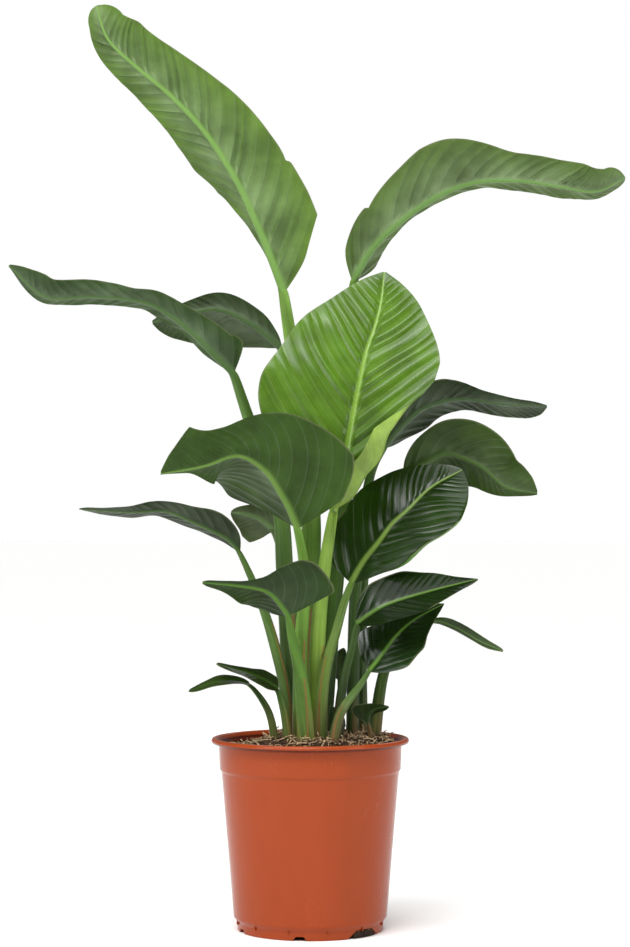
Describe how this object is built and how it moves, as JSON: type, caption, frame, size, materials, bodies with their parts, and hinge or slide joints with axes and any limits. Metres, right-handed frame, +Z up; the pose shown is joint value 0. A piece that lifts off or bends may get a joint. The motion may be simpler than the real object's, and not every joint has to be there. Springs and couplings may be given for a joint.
{
  "type": "potted bird of paradise plant",
  "caption": "Young white bird of paradise plant with paddle-shaped leaves on long stalks, rooted in dark soil in a tapered terracotta-coloured plastic nursery pot with drainage notches.",
  "frame": {"origin": "centre of the pot's underside, on the plane of its foot ring and centre pad", "axes": "+Z up along the pot's axis and the stalks; +X to the viewer's right; -Y towards the viewer"},
  "size_m": [0.642, 0.2612, 0.9764],
  "materials": {
    "terracotta_plastic": "satin moulded",
    "potting_soil": "moist, crumbly",
    "roots": "dry, fibrous",
    "leaf_01_blade": "waxy leaf, satin",
    "leaf_01_stalk": "smooth stalk, satin",
    "leaf_02_blade": "waxy leaf, satin",
    "leaf_02_stalk": "smooth stalk, satin",
    "leaf_03_blade": "waxy leaf, satin",
    "leaf_03_stalk": "smooth stalk, satin",
    "leaf_04_blade": "waxy leaf, satin",
    "leaf_04_stalk": "smooth stalk, satin",
    "leaf_05_blade": "waxy leaf, satin",
    "leaf_05_stalk": "smooth stalk, satin",
    "leaf_06_blade": "waxy leaf, satin",
    "leaf_06_stalk": "smooth stalk, satin",
    "leaf_07_blade": "waxy leaf, satin",
    "leaf_07_stalk": "smooth stalk, satin",
    "leaf_08_blade": "waxy leaf, satin",
    "leaf_08_stalk": "smooth stalk, satin",
    "leaf_09_blade": "waxy leaf, satin",
    "leaf_09_stalk": "smooth stalk, satin",
    "leaf_10_blade": "waxy leaf, satin",
    "leaf_10_stalk": "smooth stalk, satin",
    "leaf_11_blade": "waxy leaf, satin",
    "leaf_11_stalk": "smooth stalk, satin",
    "leaf_12_blade": "waxy leaf, satin",
    "leaf_12_stalk": "smooth stalk, satin",
    "leaf_13_blade": "waxy leaf, satin",
    "leaf_13_stalk": "smooth stalk, satin",
    "leaf_14_blade": "waxy leaf, satin",
    "leaf_14_stalk": "smooth stalk, satin",
    "leaf_15_blade": "waxy leaf, satin",
    "leaf_15_stalk": "smooth stalk, satin",
    "leaf_16_blade": "waxy leaf, satin",
    "leaf_16_stalk": "smooth stalk, satin",
    "leaf_17_blade": "waxy leaf, satin",
    "leaf_17_stalk": "smooth stalk, satin",
    "leaf_18_blade": "waxy leaf, satin",
    "leaf_18_stalk": "smooth stalk, satin",
    "leaf_19_blade": "waxy leaf, satin",
    "leaf_19_stalk": "smooth stalk, satin",
    "leaf_20_blade": "waxy leaf, satin",
    "leaf_20_stalk": "smooth stalk, satin"
  },
  "bodies": {
    "root": {"nursery_pot": "terracotta_plastic", "potting_soil": "potting_soil", "root_tuft": "roots", "leaf_01_blade": "leaf_01_blade", "leaf_01_stalk": "leaf_01_stalk", "leaf_02_blade": "leaf_02_blade", "leaf_02_stalk": "leaf_02_stalk", "leaf_03_blade": "leaf_03_blade", "leaf_03_stalk": "leaf_03_stalk", "leaf_04_blade": "leaf_04_blade", "leaf_04_stalk": "leaf_04_stalk", "leaf_05_blade": "leaf_05_blade", "leaf_05_stalk": "leaf_05_stalk", "leaf_06_blade": "leaf_06_blade", "leaf_06_stalk": "leaf_06_stalk", "leaf_07_blade": "leaf_07_blade", "leaf_07_stalk": "leaf_07_stalk", "leaf_08_blade": "leaf_08_blade", "leaf_08_stalk": "leaf_08_stalk", "leaf_09_blade": "leaf_09_blade", "leaf_09_stalk": "leaf_09_stalk", "leaf_10_blade": "leaf_10_blade", "leaf_10_stalk": "leaf_10_stalk", "leaf_11_blade": "leaf_11_blade", "leaf_11_stalk": "leaf_11_stalk", "leaf_12_blade": "leaf_12_blade", "leaf_12_stalk": "leaf_12_stalk", "leaf_13_blade": "leaf_13_blade", "leaf_13_stalk": "leaf_13_stalk", "leaf_14_blade": "leaf_14_blade", "leaf_14_stalk": "leaf_14_stalk", "leaf_15_blade": "leaf_15_blade", "leaf_15_stalk": "leaf_15_stalk", "leaf_16_blade": "leaf_16_blade", "leaf_16_stalk": "leaf_16_stalk", "leaf_17_blade": "leaf_17_blade", "leaf_17_stalk": "leaf_17_stalk", "leaf_18_blade": "leaf_18_blade", "leaf_18_stalk": "leaf_18_stalk", "leaf_19_blade": "leaf_19_blade", "leaf_19_stalk": "leaf_19_stalk", "leaf_20_blade": "leaf_20_blade", "leaf_20_stalk": "leaf_20_stalk"}
  },
  "joints": []
}
